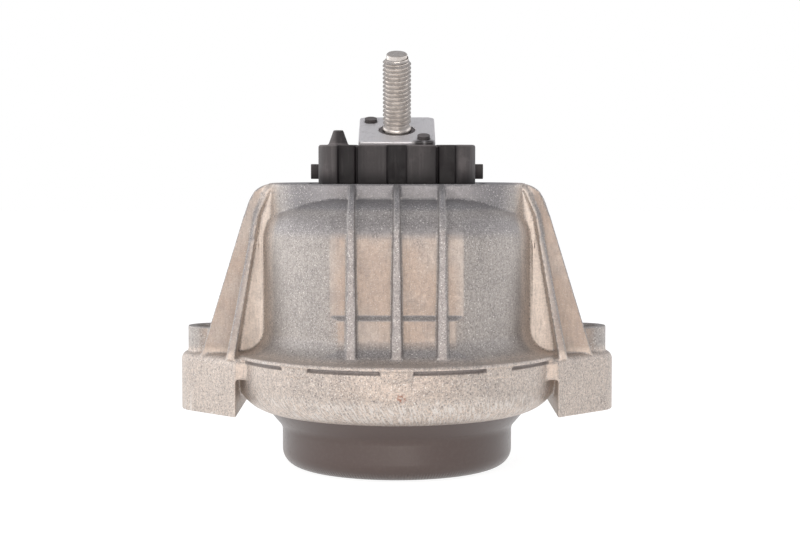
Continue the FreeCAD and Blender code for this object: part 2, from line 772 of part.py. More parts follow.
def make_stop_buffer():
    """The rubber collar moulded round the head: corner lobes, end pads, side lugs and one cone."""
    body = new_body("stop_buffer")
    tall = "collar_top - collar_bottom"
    trunk = new_sketch(body, "collar_body", "XY_Plane", "collar_bottom")
    sides = (minus("lobe_across"), "lobe_across")
    ends = (minus("collar_body_half_depth"), "collar_body_half_depth")
    draw_box(trunk, *sides, *ends)
    extrude(body, "Pad", trunk, tall)
    pads = new_sketch(body, "collar_pads", "XY_Plane", "collar_bottom")
    sides = (minus("collar_pad_half_width"), "collar_pad_half_width")
    ends = (minus("collar_half_depth"), "collar_half_depth")
    draw_box(pads, *sides, *ends)
    extrude(body, "Pad", pads, tall)
    lobes = new_sketch(body, "lobes", "XY_Plane", "collar_bottom")
    for across in ("lobe_across", "-lobe_across"):
        for along in ("lobe_along", "-lobe_along"):
            draw_circle(lobes, across, along, "lobe_radius")
    extrude(body, "Pad", lobes, tall)
    top = value("collar_top")
    soften(body, "Fillet", lambda edge: at_height(edge, top), "lobe_edge")
    groove = new_sketch(body, "pad_grooves", "XY_Plane", "collar_bottom")
    half = "pad_groove_width / 2"
    places = [(minus(half), half, "pad_groove_depth")]
    places.append(("collar_pad_half_width", "lobe_across", "lobe_recess_depth"))
    places.append(("-lobe_across", "-collar_pad_half_width", "lobe_recess_depth"))
    for left, right, depth in places:
        near = "(collar_half_depth - {0})".format(depth)
        far = "(collar_half_depth + {0})".format(depth)
        draw_box(groove, left, right, near, far)
        draw_box(groove, left, right, "-" + far, "-" + near)
    extrude(body, "Pocket", groove, tall, reverse=True)
    lugs = new_sketch(body, "side_lugs", "XY_Plane", "lug_bottom")
    draw_box(lugs, minus("lug_half_width"), "lug_half_width", "lug_near", "lug_far")
    extrude(body, "Pad", lugs, "lug_height")
    add_cone(body)
    bore = new_sketch(body, "head_bore", "XY_Plane")
    lean_on_face(bore)
    half = "head_side / 2"
    draw_box(bore, minus(half), half, minus(half), half, rounding="head_corner")
    extrude(body, "Pocket", bore, "2 * head_depth")


def add_cone(body):
    """The small tapered locating cone on the front lobe of the -X side."""
    foot = new_sketch(body, "cone_foot", "XY_Plane", "collar_top - lobe_edge")
    draw_circle(foot, "-lobe_across", "-lobe_along", "cone_foot / 2")
    tip = new_sketch(body, "cone_tip", "XY_Plane", "collar_top + cone_height")
    draw_circle(tip, "-lobe_across", "-lobe_along", "cone_tip / 2")
    loft = body.newObject("PartDesign::AdditiveLoft", "cone")
    loft.Profile = foot
    loft.Sections = [tip]
    loft.Ruled = True


# ---- rubber spring and the fluid chamber ----


def make_spring():
    """The bonded conical rubber spring, its outer ring and the rebound pad on the core's flange."""
    collar_top = "(seat_top - ring_flange + ring_collar_height)"
    ring = [
        ("ring_inner", "upper_plate_top"),
        ("flange_outer", "upper_plate_top"),
        ("flange_outer", "seat_top"),
        ("dome_bore - fit_gap", "seat_top", "ring_rounding / 4"),
        ("dome_bore - fit_gap", collar_top),
        ("ring_inner", collar_top),
    ]
    turned_body("spring_outer_ring", ring)
    cone = [
        ("ring_inner", "upper_plate_top"),
        ("ring_inner", collar_top),
        ("core_cone_radius + ring_wall", "stop_flange_bottom"),
        ("core_cone_radius", "stop_flange_bottom"),
        ("core_foot_radius", "core_foot"),
        ("spring_inner_foot", "upper_plate_top + ring_wall", "spring_inner_rounding"),
        ("spring_inner_foot", "upper_plate_top"),
    ]
    turned_body("main_spring", cone)
    pad = [
        ("core_shoulder_radius", "stop_flange_top"),
        ("stop_flange_radius", "stop_flange_top"),
        ("stop_flange_radius", "stop_flange_top + rebound_pad_height", "1"),
        ("core_shoulder_radius", "stop_flange_top + rebound_pad_height"),
    ]
    turned_body("rebound_pad", pad)


def make_channel_plates():
    """Two cast plates with a ring channel between them and windows over the rubber membrane."""
    lower = [("0", "bead_top"), ("flange_outer", "bead_top")]
    lower += [("flange_outer", "lower_plate_top"), ("0", "lower_plate_top")]
    upper = [("0", "lower_plate_top"), ("flange_outer", "lower_plate_top")]
    upper += [("flange_outer", "upper_plate_top"), ("0", "upper_plate_top")]
    for label, outline in (("lower_channel_plate", lower), ("upper_channel_plate", upper)):
        body = turned_body(label, outline)
        below = label.startswith("lower")
        if below:
            cut_channel(body)
        seat = new_sketch(body, label + "_seat", "XY_Plane", "lower_plate_top")
        draw_circle(seat, "0", "0", "window_radius")
        extrude(body, "Pocket", seat, "window_recess", reverse=not below)
        first = "bead_top" if below else "lower_plate_top"
        hole = new_sketch(body, label + "_window", "XY_Plane", first)
        draw_circle(hole, "window_hole_circle", "0", "window_hole / 2")
        cut = extrude(body, "Pocket", hole, "plate_height", reverse=True)
        ring_pattern(body, cut, "window_hole_count")
        port = new_sketch(body, label + "_port", "XY_Plane", first)
        middle = "(channel_inner + channel_outer) / 2"
        draw_circle(port, middle if below else minus(middle), "0", "channel_depth")
        extrude(body, "Pocket", port, "plate_height", reverse=True)


def cut_channel(body):
    """Turn the fluid channel into the top of the lower plate, short of a full ring."""
    groove = new_sketch(body, "channel", "XZ_Plane")
    floor = "lower_plate_top - channel_depth"
    draw_box(groove, "channel_inner", "channel_outer", floor, "lower_plate_top")
    turn(body, "Groove", groove, "channel_sweep")


def make_membrane():
    """The rubber disc that is held loosely between the two windowed plates."""
    disc = [
        ("0", "window_floor"),
        ("window_radius - fit_gap", "window_floor"),
        ("window_radius - fit_gap", "window_floor + 2 * window_recess - fit_gap"),
        ("0", "window_floor + 2 * window_recess - fit_gap"),
    ]
    turned_body("decoupler_membrane", disc)


def make_bellows():
    """The thin rubber bellows that closes the lower chamber, and the steel ring round its bead."""
    fold = "bellows_rounding"
    thick = "(bellows_floor + bellows_wall)"
    outline = [
        ("0", "bellows_crown"),
        ("bellows_crown_radius", "bellows_crown", fold),
        ("bellows_fold_inner", "bellows_floor", fold),
        ("bellows_fold_outer", "bellows_floor", fold),
        ("bellows_bead_inner", "flange_top"),
        ("bellows_bead_outer", "flange_top"),
        ("bellows_bead_outer", "bead_top"),
        ("bellows_bead_inner - bellows_wall", "bead_top"),
        ("bellows_fold_outer - bellows_wall / 2", thick, "bellows_rounding / 2"),
        ("bellows_fold_inner + bellows_wall / 2", thick, "bellows_rounding / 2"),
        ("bellows_crown_radius + bellows_wall / 2", "bellows_crown + bellows_wall", fold),
        ("0", "bellows_crown + bellows_wall"),
    ]
    turned_body("bellows", outline)
    ring = [
        ("bellows_bead_outer", "flange_top"),
        ("flange_outer", "flange_top"),
        ("flange_outer", "bead_top"),
        ("bellows_bead_outer", "bead_top"),
    ]
    turned_body("bellows_ring", ring)


def make_cup():
    """The pressed steel cup: flat bottom, straight wall, flare and the flange under the lip."""
    run = "(flange_bottom - cup_straight) / flare_slope"
    inner = "(cup_radius - cup_wall)"
    outline = [
        ("0", "0"),
        ("cup_radius", "0", "cup_corner"),
        ("cup_radius", "cup_straight", "flare_rounding"),
        ("cup_radius + " + run, "flange_bottom"),
        ("flange_outer", "flange_bottom"),
        ("flange_outer", "flange_top"),
        ("cup_radius + " + run + " + cup_wall / flare_slope - flare_shift", "flange_top"),
        (inner, "cup_straight + (flare_shift - cup_wall) * flare_slope", "flare_rounding + cup_wall"),
        (inner, "cup_wall", "cup_corner - cup_wall"),
        ("0", "cup_wall"),
    ]
    turned_body("base_cup", outline)


# ---- check and export ----


def check_and_export():
    """Stop if anything failed to build, then write each sub-part to a STEP file of its own."""
    document.recompute()
    for item in document.Objects:
        if {"Invalid", "Error"} & set(item.State):
            raise RuntimeError(item.Label + " did not build")
    bodies = [item for item in document.Objects if item.TypeId == "PartDesign::Body"]
    for body in bodies:
        if body.Shape.isNull() or not body.Shape.isValid() or not body.Shape.Solids:
            raise RuntimeError(body.Label + " is not a sound solid")
    os.makedirs("parts", exist_ok=True)
    for body in bodies:
        body.Shape.exportStep("parts/%s.step" % body.Label)
        print("%-22s %10.1f mm3" % (body.Label, body.Shape.Volume))


fill_sheet()
make_housing()
make_core()
make_stud()
make_gate_plugs()
make_stop_buffer()
make_spring()
make_channel_plates()
make_membrane()
make_bellows()
make_cup()
check_and_export()
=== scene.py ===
"""Looks of a hydraulic engine mount: cast housing, leaning stud, rubber collar and dip-coated cup.

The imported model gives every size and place. The classes below dress its pieces, or stand in for
them with finer meshes of the same form, and set up a plain studio. Lengths are in millimetres, and
become metres where Blender takes them, apart from the studio's, which are in metres.
"""

from __future__ import annotations

import logging
import math
from dataclasses import dataclass
from enum import Enum

import bmesh
import bpy
from mathutils import Matrix, Vector

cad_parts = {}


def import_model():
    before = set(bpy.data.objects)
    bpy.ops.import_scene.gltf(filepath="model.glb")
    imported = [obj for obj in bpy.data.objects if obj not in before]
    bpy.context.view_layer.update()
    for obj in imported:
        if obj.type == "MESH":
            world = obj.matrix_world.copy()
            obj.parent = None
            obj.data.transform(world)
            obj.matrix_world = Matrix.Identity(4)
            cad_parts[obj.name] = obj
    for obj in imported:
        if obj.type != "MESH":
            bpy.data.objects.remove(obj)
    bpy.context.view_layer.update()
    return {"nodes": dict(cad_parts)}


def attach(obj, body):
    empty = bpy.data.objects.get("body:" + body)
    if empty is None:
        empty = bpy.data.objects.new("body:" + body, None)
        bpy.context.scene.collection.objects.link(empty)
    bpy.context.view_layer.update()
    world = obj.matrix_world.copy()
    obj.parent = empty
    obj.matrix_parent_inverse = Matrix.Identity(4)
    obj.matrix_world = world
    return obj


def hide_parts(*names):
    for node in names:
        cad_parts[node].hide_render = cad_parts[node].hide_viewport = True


LOG = logging.getLogger("engine_mount")
MM = 0.001
ROUND_STEPS = 64

Colour = tuple[float, float, float]
Point = tuple[float, float, float]
Profile = list[tuple[float, float]]
Socket = bpy.types.NodeSocket


class Slot(Enum):
    """Material slots of the record. Each moulded skin carries one, but its finish is not taken from it.
    """

    CAST = "cast_aluminium"
    MACHINED = "machined_aluminium"
    ZINC = "zinc_steel"
    RUBBER = "black_rubber"


# ---------------------------------------------------------------- node graphs


@dataclass(frozen=True)
class Band:
    """Two values of a measure, and what a ramp gives at and beyond each of them."""

    low: float
    high: float
    start: float = 0.0
    end: float = 1.0

    @classmethod
    def mm(cls, low: float, high: float, start: float = 0.0, end: float = 1.0) -> Band:
        """A band of places, given in millimetres."""
        return cls(low * MM, high * MM, start, end)


@dataclass(frozen=True)
class Grain:
    """A noise: its cells for each metre, its octaves and the weight of the finer ones."""

    scale: float
    detail: float = 3.0
    roughness: float = 0.55


@dataclass(frozen=True)
class Patches:
    """A noise seen through a ramp, so that it stands out as patches."""

    grain: Grain
    band: Band


@dataclass(frozen=True)
class Spot:
    """A small round place on the surface, in millimetres."""

    centre: Point
    reach: float
    solid: float = 0.25

    def fade(self) -> Band:
        """How a mask falls from 1 in the solid share of the spot to 0 at its reach."""
        return Band.mm(self.solid * self.reach, self.reach, 1.0, 0.0)


class Graph:
    """A node tree filled by short calls, so that a finish reads from top to bottom."""

    def __init__(self, tree: bpy.types.NodeTree) -> None:
        """Keep the tree to fill.

        Args:
            tree: a material's tree or a node group.
        """
        self.tree = tree

    def feed(self, socket: Socket, source: object) -> None:
        """Link a socket to another one, or set its value.

        Args:
            socket: the input to fill.
            source: an output socket, a number, or a colour of three or four numbers.
        """
        if isinstance(source, Socket):
            self.tree.links.new(source, socket)
        elif isinstance(source, tuple) and socket.type == "RGBA":
            socket.default_value = (*source[:3], 1.0)
        else:
            socket.default_value = source

    def node(self, kind: str, inputs: dict[str | int, object] | None = None,
             **settings: object) -> bpy.types.Node:
        """Add a node.

        Args:
            kind: the node's type name without its ShaderNode prefix.
            inputs: socket name or number to what feeds it.
            settings: properties of the node.

        Returns:
            The new node.
        """
        made = self.tree.nodes.new("ShaderNode" + kind)
        for name, setting in settings.items():
            setattr(made, name, setting)
        for key, source in (inputs or {}).items():
            self.feed(made.inputs[key], source)
        return made

    def place(self) -> Socket:
        """The point of the surface in the part's own frame, in metres."""
        return self.node("TexCoord").outputs["Object"]

    def normal(self) -> Socket:
        """The way that the surface faces."""
        return self.node("NewGeometry").outputs["Normal"]

    def axis(self, vector: Socket, name: str) -> Socket:
        """One coordinate of a vector."""
        return self.node("SeparateXYZ", {0: vector}).outputs[name]

    def aside(self, vector: Socket, name: str) -> Socket:
        """The size of one coordinate of a vector, whatever its sign."""
        return self.math("ABSOLUTE", self.axis(vector, name))

    def radius(self, place: Socket) -> Socket:
        """Distance of a place from the upright axis."""
        flat = self.stretch(place, (1.0, 1.0, 0.0))
        return self.node("VectorMath", {0: flat}, operation="LENGTH").outputs["Value"]

    def stretch(self, vector: Socket, scale: Point) -> Socket:
        """The vector with each axis scaled."""
        return self.node("Mapping", {"Vector": vector, "Scale": scale}).outputs[0]

    def noise(self, vector: Socket, grain: Grain) -> Socket:
        """Noise from 0 to 1.

        Args:
            vector: where it is read.
            grain: how fine it is.

        Returns:
            The noise's value.
        """
        inputs = {"Vector": vector, "Scale": grain.scale, "Detail": grain.detail,
                  "Roughness": grain.roughness}
        return self.node("TexNoise", inputs).outputs[0]

    def ramp(self, source: Socket, band: Band) -> Socket:
        """A value's band mapped softly onto the band's results, and held at both ends."""
        inputs = {0: source, 1: band.low, 2: band.high, 3: band.start, 4: band.end}
        return self.node("MapRange", inputs, interpolation_type="SMOOTHSTEP").outputs[0]

    def patches(self, vector: Socket, patches: Patches) -> Socket:
        """A mask of noisy patches."""
        return self.ramp(self.noise(vector, patches.grain), patches.band)

    def near(self, place: Socket, spot: Spot) -> Socket:
        """A mask of one spot.

        Args:
            place: the surface point.
            spot: its centre and reach.

        Returns:
            The mask.
        """
        there = tuple(value * MM for value in spot.centre)
        gap = self.node("VectorMath", {0: place, 1: there}, operation="DISTANCE").outputs["Value"]
        return self.ramp(gap, spot.fade())

    def math(self, operation: str, first: object, second: object = 0.0) -> Socket:
        """One sum, such as ADD or MAXIMUM."""
        return self.node("Math", {0: first, 1: second}, operation=operation).outputs[0]

    def times(self, first: Socket, *others: object) -> Socket:
        """The product of values or masks.

        Args:
            first: the first factor.
            others: the other factors, as sockets or numbers.

        Returns:
            The product.
        """
        for other in others:
            first = self.math("MULTIPLY", first, other)
        return first

    def mask(self, *parts: tuple[Socket, Band]) -> Socket:
        """The product of ramps, each given as a value and its band."""
        return self.times(*(self.ramp(value, band) for value, band in parts))

    def blend(self, amount: object, first: object, second: object) -> Socket:
        """Blend two colours.

        Args:
            amount: how much of the second, as a number or a socket.
            first: colour or socket.
            second: colour or socket.

        Returns:
            The blended colour.
        """
        mixer = self.node("Mix", data_type="RGBA", blend_type="MIX")
        self.feed(mixer.inputs["Factor"], amount)
        self.feed(mixer.inputs[6], first)
        self.feed(mixer.inputs[7], second)
        return mixer.outputs[2]

    def bump(self, height: Socket, depth: float, under: Socket | None = None) -> Socket:
        """A normal raised by a height.

        Args:
            height: value from 0 to 1.
            depth: height of 1, in millimetres.
            under: a normal to build on.

        Returns:
            The normal.
        """
        inputs: dict[str | int, object] = {"Height": height, "Distance": depth * MM, "Strength": 1.0}
        if under is not None:
            inputs["Normal"] = under
        return self.node("Bump", inputs).outputs[0]


@dataclass(frozen=True)
class SharedGroup:
    """A node group that several finishes use, made once."""

    name: str
    outputs: tuple[str, ...]
    inputs: tuple[str, ...] = ()

    def tree(self) -> bpy.types.NodeTree:
        """The group's tree, filled when it is first asked for.

        Returns:
            The tree.
        """
        found = bpy.data.node_groups.get(self.name)
        if found is not None:
            return found
        tree = bpy.data.node_groups.new(self.name, "ShaderNodeTree")
        for name in self.inputs:
            tree.interface.new_socket(name, in_out="INPUT", socket_type="NodeSocketVector")
        for name in self.outputs:
            tree.interface.new_socket(name, in_out="OUTPUT", socket_type="NodeSocketFloat")
        masks = self.fill(Graph(tree))
        out = tree.nodes.new("NodeGroupOutput")
        for name, mask in masks.items():
            tree.links.new(mask, out.inputs[name])
        return tree

    def fill(self, graph: Graph) -> dict[str, Socket]:
        """Build the group's nodes, and give its outputs by name."""
        raise NotImplementedError

    def use(self, graph: Graph, **inputs: Socket) -> bpy.types.Node:
        """A node that stands for the group in a finish's graph."""
        return graph.node("Group", inputs, node_tree=self.tree())


@dataclass(frozen=True)
class BlastedGrain(SharedGroup):
    """The grain of a blasted casting: a height, bright specks and dark ones."""

    fine: Grain = Grain(2300.0, 2.0)
    coarse: Grain = Grain(700.0)
    dark: Patches = Patches(Grain(1900.0, 2.0), Band(0.54, 0.72))
    bright: Band = Band(0.56, 0.74)
    fine_share: float = 0.6
    coarse_share: float = 0.7
    shift: Point = (0.3, 0.1, 0.2)

    def fill(self, graph: Graph) -> dict[str, Socket]:
        """Build the group's nodes.

        Args:
            graph: the group's graph.

        Returns:
            Its outputs by name.
        """
        vector = graph.tree.nodes.new("NodeGroupInput").outputs["Vector"]
        fine = graph.noise(vector, self.fine)
        height = graph.math("ADD", graph.times(fine, self.fine_share),
                            graph.times(graph.noise(vector, self.coarse), self.coarse_share))
        shifted = graph.node("Mapping", {"Vector": vector, "Location": self.shift}).outputs[0]
        return {"Height": height, "Bright": graph.ramp(fine, self.bright),
                "Dark": graph.patches(shifted, self.dark)}


@dataclass(frozen=True)
class EdgeMasks(SharedGroup):
    """Masks of outer edges and inner corners, from how the surface turns. The finishes lighten the edges
    for wear and a painted highlight, and darken the corners with painted shade, lightening those at the
    casting's neck as a painted highlight.
    """

    edges: Band = Band(0.52, 0.60)
    corners: Band = Band(0.41, 0.485, 1.0, 0.0)

    def fill(self, graph: Graph) -> dict[str, Socket]:
        """Build the group's nodes, and give its outputs by name."""
        turn = graph.node("NewGeometry").outputs["Pointiness"]
        return {"Edges": graph.ramp(turn, self.edges), "Corners": graph.ramp(turn, self.corners)}


BLASTED_GRAIN = BlastedGrain("blasted_grain", ("Height", "Bright", "Dark"), ("Vector",))
EDGE_MASKS = EdgeMasks("edges_and_corners", ("Edges", "Corners"))


# ---------------------------------------------------------------- finishes


@dataclass(frozen=True)
class Finish:
    """A surface finish. Each kind builds one material."""

    name: str
    base: Colour
    roughness: float = 0.5
    metallic: float = 0.0

    def start(self) -> tuple[bpy.types.Material, Graph, bpy.types.Node]:
        """A plain material with its shader.

        Returns:
            The material, its graph and the Principled node.
        """
        made = bpy.data.materials.new(self.name)
        made.use_nodes = True
        shader = made.node_tree.nodes["Principled BSDF"]
        shader.inputs["Metallic"].default_value = self.metallic
        shader.inputs["Roughness"].default_value = self.roughness
        shader.inputs["Base Color"].default_value = (*self.base, 1.0)
        made.diffuse_color = (*self.base, 1.0)
        return made, Graph(made.node_tree), shader

    def dulled(self, graph: Graph, mask: Socket, band: Band) -> Socket:
        """The finish's roughness, changed by a mask.

        Args:
            graph: the material's graph.
            mask: what changes it.
            band: two values of the mask, and how much each adds to the roughness.

        Returns:
            The roughness.
        """
        start, end = (self.roughness + change for change in (band.start, band.end))
        return graph.ramp(mask, Band(band.low, band.high, start, end))

    def build(self) -> bpy.types.Material:
        """The finished material."""
        raise NotImplementedError


@dataclass(frozen=True)
class CastTones:
    """Where the casting's painted reflections and shade lie: how the wall faces, its distance from the
    middle, its height.
    """

    # Painted warm reflection: upright walls that face front or back, on the dome's middle and on the
    # webs.
    upright: Band = Band(0.80, 0.99)
    drift: Patches = Patches(Grain(60.0), Band(0.3, 0.6, 0.55))
    middle: Band = Band.mm(18.0, 25.0, 1.0, 0.15)
    flank: Band = Band.mm(38.0, 41.0)
    # Painted cool reflection from above: shoulders that slope up, and the ribs where they stand out from
    # the dome.
    slope: Band = Band(0.05, 0.32)
    crown: Band = Band(0.42, 0.85, 1.0, 0.42)
    shoulder: Band = Band.mm(46.0, 60.0, 0.3)
    rib_out: Band = Band.mm(45.2, 45.8)
    rib_up: Band = Band.mm(40.5, 42.5, 0.0, 0.75)
    # Painted shade: the neck round the collar.
    neck_up: Band = Band.mm(91.5, 93.5)
    neck_out: Band = Band.mm(34.0, 44.0, 1.0, 0.0)
    # Painted light: the webs, inboard of the slanting gussets, lightened where the gussets shade them.
    web_out: Band = Band.mm(40.5, 43.5, 0.0, 0.75)
    gusset_slant: float = 0.16
    gusset_in: Band = Band.mm(62.5, 64.5, 1.0, 0.0)
    web_deep: Band = Band.mm(20.0, 24.0, 1.0, 0.0)
    # Painted reflection of the pale floor: the bowl, and whatever faces down.
    bowl: Band = Band.mm(41.5, 44.0, 0.6, 0.0)
    downward: Band = Band(-0.75, -0.05, 1.0, 0.0)


@dataclass(frozen=True)
class CastFinish(Finish):
    """Blasted cast aluminium with painted reflections: warm on upright walls, cool on slopes that face
    up, pale underneath.
    """

    warm_reflection: Colour = (0.44, 0.345, 0.285)
    cool_reflection: Colour = (0.37, 0.35, 0.35)
    pale: Colour = (0.78, 0.66, 0.57)
    neck_shade: Colour = (0.285, 0.275, 0.285)
    web_light: Colour = (0.80, 0.70, 0.62)
    dark: Colour = (0.17, 0.155, 0.155)
    bright: Colour = (0.88, 0.85, 0.82)
    rust: Colour = (0.30, 0.10, 0.05)
    tones: CastTones = CastTones()

    # Dirt and blast marks. Outer edges are lightened for wear and a painted highlight; inner corners get
    # painted shade, and a painted highlight at the neck.
    blotch: Patches = Patches(Grain(85.0, 3.0, 0.6), Band(0.48, 0.72, 0.0, 0.22))
    mottle: Patches = Patches(Grain(1250.0, 4.0, 0.8), Band(0.40, 0.64, 0.0, 0.6))
    streak: Patches = Patches(Grain(1.0, 2.0), Band(0.45, 0.7, 0.0, 0.2))
    streak_run: Point = (1700.0, 1700.0, 190.0)
    coarse_rib: Band = Band.mm(45.2, 45.8, 0.0, 0.9)
    coarse_wall: Band = Band(0.90, 0.985, 0.8, 0.34)
    edge_wear_and_highlight: float = 0.4
    corner_shade: Band = Band.mm(42.5, 45.0, 0.65, 0.22)
    neck_line: Band = Band.mm(82.5, 84.5, 0.0, 0.7)
    dulling: Band = Band(0.3, 0.9, -0.1, 0.12)
    ripple: Grain = Grain(170.0)
    ripple_depth: float = 0.18
    grain_depth: float = 0.06

    # Pits, painted shade in the groove under the rim, and a rusty scratch on the front of the bowl.
    pits: tuple[Spot, ...] = (Spot((-7.1, -43.0, 85.1), 3.4), Spot((7.4, -43.0, 81.5), 3.0),
                              Spot((-35.0, -30.0, 84.0), 7.0))
    holes: Patches = Patches(Grain(1300.0, 2.0, 0.6), Band(0.50, 0.60, 0.0, 0.6))
    groove_radius: tuple[Band, Band] = (Band.mm(58.4, 58.8, 1.0, 0.0), Band.mm(56.2, 56.6))
    groove_height: tuple[Band, Band] = (Band.mm(38.6, 38.9), Band.mm(40.3, 40.6, 0.7, 0.0))
    scratch: Spot = Spot((1.4, -57.6, 31.2), 2.4)
    bare: Patches = Patches(Grain(900.0, 3.0, 0.7), Band(0.47, 0.57, 0.0, 0.8))

    # Rolling marks low on the bowl: their lean, and how many there are round and up.
    mark_lean: float = 7.0
    marks_round: float = 92.0
    marks_up: float = 280.0
    marks: Patches = Patches(Grain(1.0, 2.0, 0.5), Band(0.44, 0.62))
    mark_height: Band = Band.mm(27.5, 31.5, 1.0, 0.0)
    mark_radius: Band = Band.mm(58.7, 59.2, 1.0, 0.0)
    mark_shine: float = 0.5

    def build(self) -> bpy.types.Material:
        """Build the finish.

        Returns:
            The finished material.
        """
        made, graph, shader = self.start()
        place = graph.place()
        grain = BLASTED_GRAIN.use(graph, Vector=place).outputs
        colour = self.add_marks_and_painted_light(graph, place, self.painted_light_tones(graph, place), grain)
        colour = self.add_flaws(graph, place, colour)
        colour, height = self.add_rolling_marks(graph, place, colour, grain["Height"])
        graph.feed(shader.inputs["Base Color"], colour)
        graph.feed(shader.inputs["Roughness"], self.dulled(graph, grain["Height"], self.dulling))
        low = graph.bump(graph.noise(place, self.ripple), self.ripple_depth)
        graph.feed(shader.inputs["Normal"], graph.bump(height, self.grain_depth, low))
        return made

    def painted_light_tones(self, graph: Graph, place: Socket) -> Socket:
        """Painted reflections and shade on the casting, from the way that the wall faces and where it is.

        Args:
            graph: the material's graph.
            place: the surface point.

        Returns:
            The colour.
        """
        tones = self.tones
        normal = graph.normal()
        up = graph.axis(normal, "Z")
        height = graph.axis(place, "Z")
        across, along = graph.aside(place, "X"), graph.aside(place, "Y")
        border = graph.math("MAXIMUM", graph.ramp(across, tones.middle), graph.ramp(across, tones.flank))
        # Painted reflection: a warm tone on walls that face front or back.
        warm_reflection = graph.times(graph.ramp(graph.aside(normal, "Y"), tones.upright),
                           graph.patches(place, tones.drift), border)
        # Painted reflection: a cool tone on slopes that face up, and on the ribs.
        shoulder = graph.mask((up, tones.slope), (up, tones.crown), (height, tones.shoulder))
        ribs = graph.mask((along, tones.rib_out), (height, tones.rib_up))
        # Painted shade on the neck round the collar.
        neck = graph.mask((height, tones.neck_up), (across, tones.neck_out))
        # Painted light on the webs, inboard of the gussets.
        slanted = graph.math("ADD", across, graph.times(height, tones.gusset_slant))
        web = graph.mask((across, tones.web_out), (slanted, tones.gusset_in), (along, tones.web_deep))
        # Painted reflection of the floor: pale on the bowl and on faces that point down.
        bowl, below = graph.ramp(height, tones.bowl), graph.ramp(up, tones.downward)
        colour: object = self.base
        for share, tone in ((warm_reflection, self.warm_reflection), (shoulder, self.cool_reflection), (ribs, self.cool_reflection),
                            (neck, self.neck_shade), (web, self.web_light), (bowl, self.pale),
                            (below, self.pale)):
            colour = graph.blend(share, colour, tone)
        return colour

    def add_marks_and_painted_light(self, graph: Graph, place: Socket, colour: Socket,
                 grain: bpy.types.NodeOutputs) -> Socket:
        """Blotches, streaks and specks, edges lightened for wear and a painted highlight, painted shade
        in the corners, and a painted highlight line at the neck.

        Args:
            graph: the material's graph.
            place: the surface point.
            colour: colour before them.
            grain: outputs of the blasted grain.

        Returns:
            The colour with them.
        """
        edges = EDGE_MASKS.use(graph).outputs
        height = graph.axis(place, "Z")
        coarse = graph.math("MAXIMUM", graph.ramp(graph.aside(place, "Y"), self.coarse_rib),
                            graph.ramp(graph.aside(graph.normal(), "Y"), self.coarse_wall))
        mottle = graph.times(graph.patches(place, self.mottle), coarse)
        streak = graph.patches(graph.stretch(place, self.streak_run), self.streak)
        # Painted shade: inner corners darkened, most of all low down.
        shaded_corners = graph.times(edges["Corners"], graph.ramp(height, self.corner_shade))
        # Painted highlight: inner corners above the neck line are lightened.
        neck_highlight = graph.times(edges["Corners"], graph.ramp(height, self.neck_line))
        for share, tone in ((graph.patches(place, self.blotch), self.dark), (mottle, self.dark),
                            (streak, self.dark), (graph.times(grain["Dark"], coarse), self.dark),
                            (graph.times(grain["Bright"], coarse), self.bright),
                            # Outer edges lightened: wear, and a painted highlight.
                            (graph.times(edges["Edges"], self.edge_wear_and_highlight), self.bright),
                            (shaded_corners, self.dark), (neck_highlight, self.bright)):
            colour = graph.blend(share, colour, tone)
        return colour

    def add_flaws(self, graph: Graph, place: Socket, colour: Socket) -> Socket:
        """Clusters of small casting pits, the groove's shade and the rusty scratch.

        Args:
            graph: the material's graph.
            place: the surface point.
            colour: colour before them.

        Returns:
            The colour with them.
        """
        holes = graph.patches(place, self.holes)
        for spot in self.pits:
            colour = graph.blend(graph.times(graph.near(place, spot), holes), colour, self.dark)
        radius, height = graph.radius(place), graph.axis(place, "Z")
        # Painted shade in the groove under the rim.
        sides = [(radius, band) for band in self.groove_radius]
        ends = [(height, band) for band in self.groove_height]
        colour = graph.blend(graph.mask(*sides, *ends), colour, self.dark)
        rusty = graph.times(graph.near(place, self.scratch), graph.patches(place, self.bare))
        return graph.blend(rusty, colour, self.rust)

    def add_rolling_marks(self, graph: Graph, place: Socket, colour: Socket,
                          height: Socket) -> tuple[Socket, Socket]:
        """Short slanted scratches that the rolling tool left on the bowl's underside.

        Args:
            graph: the material's graph.
            place: the surface point.
            colour: colour before the marks.
            height: height before the marks.

        Returns:
            The colour and the height with the marks.
        """
        across, along, up = (graph.axis(place, name) for name in "XYZ")
        around = graph.math("ARCTAN2", across, graph.times(along, -1.0))
        slanted = graph.math("ADD", around, graph.times(up, self.mark_lean))
        strip = graph.node("CombineXYZ", {0: graph.times(slanted, self.marks_round),
                                          1: graph.times(up, self.marks_up)}).outputs[0]
        low = graph.mask((up, self.mark_height), (graph.radius(place), self.mark_radius))
        marks = graph.times(graph.patches(strip, self.marks), low)
        shine = graph.times(marks, self.mark_shine)
        return graph.blend(shine, colour, self.bright), graph.math("ADD", height, marks)


